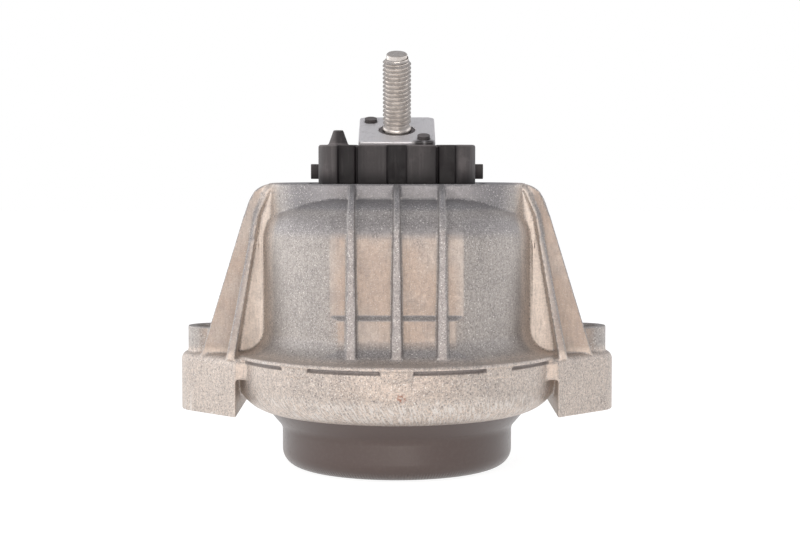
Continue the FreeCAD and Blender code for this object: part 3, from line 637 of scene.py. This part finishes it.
@dataclass(frozen=True)
class MachinedFinish(Finish):
    """Milled aluminium with faint cutter lines, a few smears, edges lightened for wear and a painted
    highlight, and a patch of torn rubber on one corner.
    """

    smeared: Colour = (0.34, 0.32, 0.31)
    black: Colour = (0.035, 0.03, 0.032)
    cut: Colour = (0.9, 0.9, 0.9)
    wear_and_highlight: Colour = (0.92, 0.91, 0.91)
    smear: Patches = Patches(Grain(300.0, 4.0, 0.7), Band(0.5, 0.72, 0.0, 0.3))
    lines: Grain = Grain(1.0, 2.0)
    line_run: Point = (3200.0, 180.0, 180.0)
    line_share: Band = Band(0.3, 0.7, 0.0, 0.25)
    line_depth: float = 0.015
    edge_wear_and_highlight: float = 0.15
    torn: tuple[Spot, Spot] = (Spot((7.8, -17.6, 115.3), 3.4), Spot((11.4, -17.6, 115.5), 3.4))
    tatters: Patches = Patches(Grain(420.0), Band(0.22, 0.34))
    covered: tuple[float, float] = (0.3, 0.7)
    dulling: Band = Band(0.0, 0.5, 0.0, 0.15)

    def build(self) -> bpy.types.Material:
        """Build the finish.

        Returns:
            The finished material.
        """
        made, graph, shader = self.start()
        place = graph.place()
        lines = graph.noise(graph.stretch(place, self.line_run), self.lines)
        smear = graph.patches(place, self.smear)
        # Outer edges lightened: wear, and a painted highlight.
        edges = graph.times(EDGE_MASKS.use(graph).outputs["Edges"], self.edge_wear_and_highlight)
        spots = [graph.near(place, spot) for spot in self.torn]
        torn = graph.times(graph.math("MAXIMUM", *spots), graph.patches(place, self.tatters))
        colour: object = self.base
        for share, tone in ((smear, self.smeared), (graph.ramp(lines, self.line_share), self.cut),
                            (edges, self.wear_and_highlight), (torn, self.black)):
            colour = graph.blend(share, colour, tone)
        graph.feed(shader.inputs["Base Color"], colour)
        metal = graph.ramp(torn, Band(*self.covered, self.metallic, 0.0))
        graph.feed(shader.inputs["Metallic"], metal)
        graph.feed(shader.inputs["Roughness"], self.dulled(graph, smear, self.dulling))
        graph.feed(shader.inputs["Normal"], graph.bump(lines, self.line_depth))
        return made


@dataclass(frozen=True)
class ZincFinish(Finish):
    """Zinc-plated steel, slightly mottled, with painted shade darkening the hollows of the thread."""

    dull: Colour = (0.16, 0.135, 0.12)
    mottle: Patches = Patches(Grain(520.0, 4.0, 0.65), Band(0.4, 0.66))
    mottle_share: float = 0.3
    # Painted shade in inner corners.
    corner_shade: float = 0.85
    dulling: Band = Band(0.0, 1.0, 0.0, 0.2)
    skin: Grain = Grain(1800.0, 2.0)
    skin_depth: float = 0.02

    def build(self) -> bpy.types.Material:
        """Build the finish.

        Returns:
            The finished material.
        """
        made, graph, shader = self.start()
        place = graph.place()
        mottle = graph.patches(place, self.mottle)
        # Painted shade in the hollows of the thread and in other inner corners.
        shaded_corners = graph.times(EDGE_MASKS.use(graph).outputs["Corners"], self.corner_shade)
        colour = graph.blend(graph.times(mottle, self.mottle_share), self.base, self.dull)
        graph.feed(shader.inputs["Base Color"], graph.blend(shaded_corners, colour, self.dull))
        graph.feed(shader.inputs["Roughness"], self.dulled(graph, mottle, self.dulling))
        graph.feed(shader.inputs["Normal"], graph.bump(graph.noise(place, self.skin), self.skin_depth))
        return made


@dataclass(frozen=True)
class RubberFinish(Finish):
    """Moulded black rubber: a painted reflection with some dust greys its pads and lobes, faces that
    point up are lighter, and painted shade darkens it down in the neck.
    """

    dust_and_reflection: Colour = (0.20, 0.18, 0.18)
    shine: float = 0.24
    cloud: Patches = Patches(Grain(170.0, 4.0, 0.6), Band(0.40, 0.72))
    flow: Patches = Patches(Grain(1.0, 2.0), Band(0.5, 0.75))
    flow_run: Point = (900.0, 900.0, 60.0)
    flow_share: float = 0.10
    # Distances from the middle: where the pads begin and end, and where the lobes begin; a painted
    # reflection with some dust greys both.
    pad_start: Band = Band.mm(2.6, 4.6, 0.03, 0.34)
    pad_end: Band = Band.mm(9.0, 14.5, 1.0, 0.25)
    lobe_start: Band = Band.mm(20.3, 22.0, 0.0, 0.55)
    broken: Band = Band(0.0, 1.0, 0.6)
    # Painted shade: how much of the grey stays low down by the neck.
    above_neck: Band = Band.mm(101.5, 108.0, 0.12)
    upward: Band = Band(0.2, 0.6, 0.0, 0.45)
    dulling: Band = Band(0.0, 1.0, 0.0, 0.2)
    skin: Grain = Grain(1300.0)
    skin_depth: float = 0.03
    flow_depth: float = 0.03

    def build(self) -> bpy.types.Material:
        """Build the finish.

        Returns:
            The finished material.
        """
        made, graph, shader = self.start()
        shader.inputs["Specular IOR Level"].default_value = self.shine
        place = graph.place()
        cloud = graph.patches(place, self.cloud)
        flow = graph.patches(graph.stretch(place, self.flow_run), self.flow)
        across = graph.aside(place, "X")
        # A painted reflection with some dust greys the pads and the outer halves of the lobes.
        pads = graph.mask((across, self.pad_start), (across, self.pad_end))
        lobes = graph.math("MAXIMUM", pads, graph.ramp(across, self.lobe_start))
        lobes = graph.times(lobes, graph.ramp(cloud, self.broken))
        reflection_dust_and_flow = graph.math("ADD", lobes, graph.times(flow, self.flow_share))
        # Painted shade: the grey fades lower down, so the collar darkens towards the neck.
        reflection_dust_and_flow = graph.times(reflection_dust_and_flow, graph.ramp(graph.axis(place, "Z"), self.above_neck))
        facing_up = graph.ramp(graph.axis(graph.normal(), "Z"), self.upward)
        colour = graph.blend(graph.math("ADD", reflection_dust_and_flow, facing_up), self.base, self.dust_and_reflection)
        graph.feed(shader.inputs["Base Color"], colour)
        graph.feed(shader.inputs["Roughness"], self.dulled(graph, cloud, self.dulling))
        fine = graph.bump(graph.noise(place, self.skin), self.skin_depth)
        graph.feed(shader.inputs["Normal"], graph.bump(flow, self.flow_depth, fine))
        return made


@dataclass(frozen=True)
class CoatedFinish(Finish):
    """Dark dip coat on pressed steel: satin, with a faint orange peel and a knurled low corner."""

    scuffed: Colour = (0.20, 0.17, 0.155)
    gloss: float = 0.35
    gloss_roughness: float = 0.22
    scuff: Patches = Patches(Grain(700.0, 5.0, 0.75), Band(0.45, 0.7))
    scuff_height: Band = Band.mm(1.6, 3.2, 0.45, 0.09)
    dulling: Band = Band(0.0, 1.0, 0.0, 0.12)
    peel: Grain = Grain(650.0, 2.0)
    peel_depth: float = 0.02
    teeth: float = 240.0
    teeth_height: Band = Band.mm(1.92, 3.2, 1.0, 0.0)
    teeth_depth: float = 0.06

    def build(self) -> bpy.types.Material:
        """Build the finish.

        Returns:
            The finished material.
        """
        made, graph, shader = self.start()
        shader.inputs["Coat Weight"].default_value = self.gloss
        shader.inputs["Coat Roughness"].default_value = self.gloss_roughness
        place = graph.place()
        across, along, up = (graph.axis(place, name) for name in "XYZ")
        scuff = graph.patches(place, self.scuff)
        share = graph.times(scuff, graph.ramp(up, self.scuff_height))
        graph.feed(shader.inputs["Base Color"], graph.blend(share, self.base, self.scuffed))
        graph.feed(shader.inputs["Roughness"], self.dulled(graph, scuff, self.dulling))
        wave = graph.math("SINE", graph.times(graph.math("ARCTAN2", across, along), self.teeth))
        knurl = graph.times(wave, graph.ramp(up, self.teeth_height))
        peel = graph.bump(graph.noise(place, self.peel), self.peel_depth)
        graph.feed(shader.inputs["Normal"], graph.bump(knurl, self.teeth_depth, peel))
        return made


# ---------------------------------------------------------------- mesh helpers


def as_piece(name: str, mesh: bpy.types.Mesh, material: bpy.types.Material) -> bpy.types.Object:
    """Link a mesh as a piece of the part, riding on its one body.

    Args:
        name: name of the piece.
        mesh: its mesh, in place.
        material: its finish.

    Returns:
        The new object.
    """
    piece = bpy.data.objects.new(name, mesh)
    bpy.context.scene.collection.objects.link(piece)
    mesh.materials.clear()
    mesh.materials.append(material)
    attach(piece, "root")
    LOG.info("piece %s: %d faces", name, len(mesh.polygons))
    return piece


def merged_copy(node: bpy.types.Object, join: float = 0.001) -> bpy.types.Mesh:
    """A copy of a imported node's mesh with its loose triangles joined.

    Args:
        node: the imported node.
        join: how far apart corners may be, in millimetres.

    Returns:
        The joined mesh.
    """
    form = bmesh.new()
    form.from_mesh(node.data)
    bmesh.ops.remove_doubles(form, verts=form.verts, dist=join * MM)
    mesh = bpy.data.meshes.new(node.name + "_form")
    form.to_mesh(mesh)
    form.free()
    return mesh


def applied(piece: bpy.types.Object) -> bpy.types.Mesh:
    """Apply a piece's modifiers to its mesh.

    Args:
        piece: object with live modifiers.

    Returns:
        The applied mesh, which the piece now uses.
    """
    graph = bpy.context.evaluated_depsgraph_get()
    mesh = bpy.data.meshes.new_from_object(piece.evaluated_get(graph))
    piece.modifiers.clear()
    piece.data = mesh
    return mesh


def lathe(profile: Profile, join: float = 0.0005) -> bmesh.types.BMesh:
    """Spin a profile of radius and height, in millimetres, about the Z axis.

    Args:
        profile: points from one end of the section to the other.
        join: how far apart the seam's corners may be, in millimetres.

    Returns:
        The closed form, in metres.
    """
    form = bmesh.new()
    points = [form.verts.new((radius * MM, 0.0, height * MM)) for radius, height in profile]
    edges = [form.edges.new(pair) for pair in zip(points, points[1:])]
    bmesh.ops.spin(form, geom=points + edges, axis=(0, 0, 1), cent=(0, 0, 0), dvec=(0, 0, 0),
                   angle=2 * math.pi, steps=ROUND_STEPS, use_merge=True, use_normal_flip=False,
                   use_duplicate=False)
    bmesh.ops.remove_doubles(form, verts=form.verts, dist=join * MM)
    bmesh.ops.recalc_face_normals(form, faces=form.faces)
    return form


def to_mesh(form: bmesh.types.BMesh, name: str, smooth: bool = True) -> bpy.types.Mesh:
    """Finish a form as a mesh.

    Args:
        form: the form, which is freed.
        name: name of the mesh.
        smooth: whether faces are shaded smooth.

    Returns:
        The mesh.
    """
    for face in form.faces:
        face.smooth = smooth
    mesh = bpy.data.meshes.new(name)
    form.to_mesh(mesh)
    form.free()
    return mesh


# ---------------------------------------------------------------- sub-assemblies


@dataclass(frozen=True)
class Knees:
    """Where the gussets run into the top of the webs: distances from the middle and heights."""

    inner: float = 43.0
    outer: float = 54.0
    low: float = 82.0
    high: float = 98.0
    passes: int = 14

    def ease(self, mesh: bpy.types.Mesh, factor: float) -> None:
        """Round the knees.

        Args:
            mesh: the casting's mesh.
            factor: how far each pass moves a corner towards its neighbours.
        """
        form = bmesh.new()
        form.from_mesh(mesh)
        corners = [v for v in form.verts if self.inner * MM < abs(v.co.x) < self.outer * MM
                   and self.low * MM < v.co.z < self.high * MM]
        for _ in range(self.passes):
            bmesh.ops.smooth_vert(form, verts=corners, factor=factor, use_axis_x=True,
                                  use_axis_y=True, use_axis_z=True)
        form.to_mesh(mesh)
        form.free()


@dataclass
class MouldedSkin:
    """A node whose edges a mould or a die leaves round: the same form, remeshed and eased."""

    node: str
    piece: str
    slot: Slot
    finish: Finish
    grid: float = 0.42
    passes: int = 3
    faces: int = 190_000
    knees: Knees | None = None
    factor: float = 0.5

    def build(self, nodes: dict[str, bpy.types.Object]) -> bpy.types.Object:
        """Remesh the node's form, ease its edges and thin the result.

        Args:
            nodes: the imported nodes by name.

        Returns:
            The piece that stands for the node.
        """
        skin = as_piece(self.piece, merged_copy(nodes[self.node]), self.finish.build())
        remesh = skin.modifiers.new("even", "REMESH")
        remesh.mode = "VOXEL"
        remesh.voxel_size = self.grid * MM
        remesh.use_smooth_shade = True
        ease = skin.modifiers.new("ease", "SMOOTH")
        ease.factor = self.factor
        ease.iterations = self.passes
        mesh = applied(skin)
        triangles = 2 * len(mesh.polygons)
        if triangles > self.faces:
            thin = skin.modifiers.new("thin", "DECIMATE")
            thin.ratio = self.faces / triangles
            thin.use_collapse_triangulate = True
            mesh = applied(skin)
        if self.knees:
            self.knees.ease(mesh, self.factor)
        mesh.shade_smooth()
        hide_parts(self.node)
        LOG.info("skin %s: %d faces", self.piece, len(mesh.polygons))
        return skin


@dataclass(frozen=True)
class Stud:
    """The threaded stud, with rolled thread, a plain neck and a short point, and its seal.

    Lengths run along the stud from the head's face. A section lists distance out and up: the
    thread's is one pitch high and starts at the root, and the seal's starts at the stud's axis.
    """

    lean: float = 20.0
    face: tuple[float, float] = (-5.0, 120.4)
    radius: float = 5.0
    pitch: float = 1.5
    depth: float = 0.85
    length: float = 28.0
    point_radius: float = 3.65
    point_length: float = 1.8
    point_bevel: float = 0.4
    point_shoulder: float = 0.5
    chamfer: float = 1.4
    neck: float = 1.7
    neck_taper: tuple[tuple[float, float], ...] = ((0.0, 0.9), (0.25, 0.5))
    foot: float = 0.05
    fade: float = 0.8
    buried: float = 20.0
    root: float = 4.5
    ridge: tuple[tuple[float, float], ...] = ((-0.1, 0.0), (0.0, 0.12), (0.77, 0.56), (0.85, 0.66),
                                              (0.85, 0.84), (0.77, 0.94), (0.0, 1.38), (-0.1, 1.5))
    sunk: float = 0.12
    crease: float = 32.0
    seal: tuple[tuple[float, float], ...] = ((4.7, -1.4), (6.45, -1.4), (6.45, -0.35), (4.7, -0.65),
                                             (4.7, -1.4))
    steps: int = 48

    def frame(self) -> Matrix:
        """The matrix that stands the stud on the leaning face."""
        turn = Matrix.Rotation(math.radians(self.lean), 4, "X")
        return Matrix.Translation((0.0, self.face[0] * MM, self.face[1] * MM)) @ turn

    def shank(self) -> bmesh.types.BMesh:
        """The plain part under and through the thread.

        Returns:
            The lathed form.
        """
        root = self.radius - self.depth
        tip = self.length - self.point_length
        profile = [(0.0, -self.buried), (self.root, -self.buried), (self.root, 0.0),
                   (self.radius, self.foot)]
        profile += [(self.radius - inset, self.neck - down) for inset, down in self.neck_taper]
        profile += [(root, self.neck), (root, tip - self.point_shoulder), (self.point_radius, tip),
                    (self.point_radius, self.length - self.point_bevel),
                    (self.point_radius - self.point_bevel, self.length), (0.0, self.length)]
        return lathe(profile)

    def limit(self, height: float) -> float:
        """How far out the thread may reach: it fades in at the neck and out at the tip.

        Args:
            height: place along the stud.

        Returns:
            The largest radius there.
        """
        top = self.length - self.point_length
        fade_in = self.radius - self.depth * max(0.0, (self.neck + self.fade - height) / self.fade)
        fade_out = self.radius - max(0.0, height - (top - self.chamfer))
        return min(self.radius, fade_in, fade_out)

    def thread(self) -> bmesh.types.BMesh:
        """The helical ridge: a section of one pitch, spun up the shank and drawn in at both ends.

        Returns:
            The ridge's form.
        """
        start = self.neck - self.pitch / 2
        turns = (self.length - self.point_length - self.neck) / self.pitch
        root = self.radius - self.depth
        form = bmesh.new()
        points = [form.verts.new(((root + out) * MM, 0.0, (start + up) * MM))
                  for out, up in self.ridge]
        edges = [form.edges.new(pair) for pair in zip(points, points[1:] + points[:1])]
        cap = form.faces.new(points)
        bmesh.ops.spin(form, geom=[cap, *edges, *points], axis=(0, 0, 1), cent=(0, 0, 0),
                       dvec=(0, 0, self.pitch * MM / self.steps), angle=2 * math.pi * turns,
                       steps=int(self.steps * turns), use_merge=False, use_normal_flip=False,
                       use_duplicate=False)
        for point in form.verts:
            out = math.hypot(point.co.x, point.co.y)
            most = max(root - self.sunk, self.limit(point.co.z / MM)) * MM
            if out > most:
                point.co.x *= most / out
                point.co.y *= most / out
        bmesh.ops.recalc_face_normals(form, faces=form.faces)
        return form

    def build_seal(self, finish: Finish) -> bpy.types.Object:
        """The ring of rubber that fills the counterbore round the stud's foot.

        Args:
            finish: the rubber.

        Returns:
            The new piece.
        """
        form = lathe(list(self.seal))
        bmesh.ops.transform(form, matrix=self.frame(), verts=form.verts)
        mesh = to_mesh(form, "counterbore_ring")
        return as_piece("counterbore_ring", mesh, finish.build())

    def build(self, finish: Finish) -> bpy.types.Object:
        """Join the shank and the thread into one piece.

        Args:
            finish: the plating.

        Returns:
            The piece that stands for the stud.
        """
        form = self.shank()
        ridge = self.thread()
        spare = bpy.data.meshes.new("ridge")
        ridge.to_mesh(spare)
        ridge.free()
        form.from_mesh(spare)
        bpy.data.meshes.remove(spare)
        bmesh.ops.transform(form, matrix=self.frame(), verts=form.verts)
        mesh = to_mesh(form, "stud_thread")
        mesh.set_sharp_from_angle(angle=math.radians(self.crease))
        piece = as_piece("threaded_stud", mesh, finish.build())
        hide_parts("stud")
        return piece


@dataclass
class PlainPieces:
    """The pieces that keep their packed form and get a finish: those inside, the plugs and the cup."""

    finishes: dict[str, Finish]

    def dress(self, nodes: dict[str, bpy.types.Object]) -> None:
        """Give each node its finish.

        Args:
            nodes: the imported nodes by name.
        """
        built: dict[str, bpy.types.Material] = {}
        for name, finish in self.finishes.items():
            if finish.name not in built:
                built[finish.name] = finish.build()
            mesh = nodes[name].data
            mesh.materials.clear()
            mesh.materials.append(built[finish.name])
            LOG.info("dressed %s in %s", name, finish.name)


# ---------------------------------------------------------------- studio


@dataclass(frozen=True)
class Lamp:
    """A soft square lamp, its place and side in metres and its power in watts."""

    name: str
    place: Point
    side: float
    power: float
    colour: Colour
    aim: Point = (0.0, 0.0, 0.07)

    def hang(self) -> None:
        """Add the lamp to the scene, facing its aim."""
        data = bpy.data.lights.new(self.name, "AREA")
        data.size = self.side
        data.energy = self.power
        data.color = self.colour
        lamp = bpy.data.objects.new(self.name, data)
        lamp.location = self.place
        lamp.rotation_euler = (Vector(self.aim) - Vector(self.place)).to_track_quat("-Z", "Y").to_euler()
        bpy.context.scene.collection.objects.link(lamp)


LAMPS = (
    Lamp("left_wall", (-0.85, -0.30, 0.22), 0.8, 1.8, (1.0, 0.985, 0.97)),
    Lamp("right_wall", (0.85, -0.30, 0.22), 0.8, 0.3, (1.0, 0.985, 0.97)),
    Lamp("front_left", (-0.45, -0.95, 0.30), 0.5, 2.5, (1.0, 0.96, 0.92)),
    Lamp("front_right", (0.45, -0.95, 0.30), 0.5, 0.3, (1.0, 0.96, 0.92)),
    Lamp("low_front", (0.1, -0.9, 0.0), 0.4, 3.6, (1.0, 0.94, 0.88), (0.0, 0.0, 0.03)),
    Lamp("back_left", (-0.8, 0.35, 0.15), 0.9, 4.2, (1.0, 0.99, 0.98)),
    Lamp("back_right", (0.8, 0.35, 0.15), 0.9, 2.8, (1.0, 0.99, 0.98)),
    Lamp("top", (0.0, 0.1, 1.1), 0.8, 1.0, (0.96, 0.98, 1.0)),
)


@dataclass(frozen=True)
class Studio:
    """A white sweep, soft lamps and the camera. Lengths are in metres."""

    lamps: tuple[Lamp, ...] = LAMPS
    stand: Point = (0.0011, -0.610, 0.1095)
    pitch: float = 3.6
    lens: float = 76.2
    sensor: float = 36.0
    nearest: float = 0.01
    floor_half: float = 3.0
    floor_gap: float = 0.2 * MM
    floor_tone: Colour = (0.9, 0.9, 0.9)
    floor_roughness: float = 0.9
    veil: Colour = (0.3, 0.3, 0.3)
    glow: float = 0.9
    white: Colour = (1.0, 1.0, 1.0)
    sky: Colour = (0.95, 0.96, 1.0)
    sky_strength: float = 0.47

    def camera(self) -> None:
        """Stand the camera before the mount, a little above its shoulder, and make it the scene's."""
        data = bpy.data.cameras.new("camera")
        data.lens = self.lens
        data.sensor_width = self.sensor
        data.clip_start = self.nearest
        shot = bpy.data.objects.new("camera", data)
        shot.location = self.stand
        shot.rotation_euler = (math.radians(90.0 - self.pitch), 0.0, 0.0)
        bpy.context.scene.collection.objects.link(shot)
        bpy.context.scene.camera = shot

    def backdrop(self) -> None:
        """A pale floor that looks white, also in reflections, takes a shadow and is clear from below."""
        form = bmesh.new()
        bmesh.ops.create_grid(form, x_segments=1, y_segments=1, size=self.floor_half)
        bmesh.ops.translate(form, vec=(0.0, 0.0, -self.floor_gap), verts=form.verts)
        floor = bpy.data.objects.new("floor", to_mesh(form, "floor", False))
        bpy.context.scene.collection.objects.link(floor)
        made = bpy.data.materials.new("white_floor")
        made.use_nodes = True
        nodes = made.node_tree.nodes
        graph = Graph(made.node_tree)
        shader = nodes["Principled BSDF"]
        graph.feed(shader.inputs["Base Color"], self.floor_tone)
        graph.feed(shader.inputs["Roughness"], self.floor_roughness)
        veil = graph.node("BsdfDiffuse", {"Color": self.veil})
        glow = graph.node("Emission", {"Color": self.white, "Strength": self.glow})
        pale = graph.node("AddShader", {0: veil.outputs[0], 1: glow.outputs[0]})
        rays = graph.node("LightPath").outputs
        seen = graph.math("MAXIMUM", rays["Is Camera Ray"], rays["Is Glossy Ray"])
        above = graph.node("MixShader", {0: seen, 1: shader.outputs[0], 2: pale.outputs[0]})
        clear = graph.node("BsdfTransparent")
        under = graph.node("NewGeometry").outputs["Backfacing"]
        both = graph.node("MixShader", {0: under, 1: above.outputs[0], 2: clear.outputs[0]})
        graph.feed(nodes["Material Output"].inputs["Surface"], both.outputs[0])
        floor.data.materials.append(made)

    def world(self) -> None:
        """Even pale light from all round, and plain white where the camera sees past the floor."""
        world = bpy.data.worlds.new("studio")
        bpy.context.scene.world = world
        world.use_nodes = True
        graph = Graph(world.node_tree)
        light = world.node_tree.nodes["Background"]
        graph.feed(light.inputs["Color"], self.sky)
        graph.feed(light.inputs["Strength"], self.sky_strength)
        plain = graph.node("Background", {"Color": self.white, "Strength": 1.0})
        seen = graph.node("LightPath").outputs["Is Camera Ray"]
        both = graph.node("MixShader", {0: seen, 1: light.outputs[0], 2: plain.outputs[0]})
        graph.feed(world.node_tree.nodes["World Output"].inputs["Surface"], both.outputs[0])

    def build(self) -> None:
        """Set up camera, lamps, floor and world."""
        bpy.context.scene.view_settings.view_transform = "Standard"
        self.camera()
        for lamp in self.lamps:
            lamp.hang()
        self.backdrop()
        self.world()


# ---------------------------------------------------------------- the mount


CAST = CastFinish("cast_aluminium_blasted", (0.47, 0.43, 0.40), 0.46, 0.5)
MACHINED = MachinedFinish("milled_aluminium", (0.73, 0.71, 0.725), 0.45, 0.55)
ZINC = ZincFinish("zinc_plate", (0.62, 0.575, 0.54), 0.30, 0.85)
STEEL = ZincFinish("plain_steel", (0.48, 0.48, 0.50), 0.35, 0.9)
RUBBER = RubberFinish("moulded_rubber", (0.009, 0.007, 0.008), 0.52)
COATED = CoatedFinish("dip_coat", (0.080, 0.052, 0.045), 0.38)

SKINS = (
    MouldedSkin("housing", "housing_casting", Slot.CAST, CAST, knees=Knees()),
    MouldedSkin("stop_buffer", "stop_collar", Slot.RUBBER, RUBBER, 0.3, 3),
    MouldedSkin("inner_core", "bonded_core", Slot.MACHINED, MACHINED, 0.35, 2, 90_000),
)
PLAIN = PlainPieces({
    "gate_plugs": RUBBER,
    "spring_outer_ring": STEEL,
    "main_spring": RUBBER,
    "rebound_pad": RUBBER,
    "lower_channel_plate": MACHINED,
    "upper_channel_plate": MACHINED,
    "decoupler_membrane": RUBBER,
    "bellows": RUBBER,
    "bellows_ring": STEEL,
    "base_cup": COATED,
})


@dataclass
class EngineMount:
    """The whole mount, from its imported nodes."""

    nodes: dict[str, bpy.types.Object]

    def build(self) -> None:
        """Build and dress each sub-assembly in order."""
        for skin in SKINS:
            skin.build(self.nodes)
        stud = Stud()
        stud.build(ZINC)
        stud.build_seal(RUBBER)
        PLAIN.dress(self.nodes)


def main() -> None:
    """Load the frame, build the mount and its studio."""
    logging.basicConfig(level=logging.INFO, format="%(name)s: %(message)s")
    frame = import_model()
    EngineMount(frame["nodes"]).build()
    Studio().build()


if __name__ == "__main__":
    main()
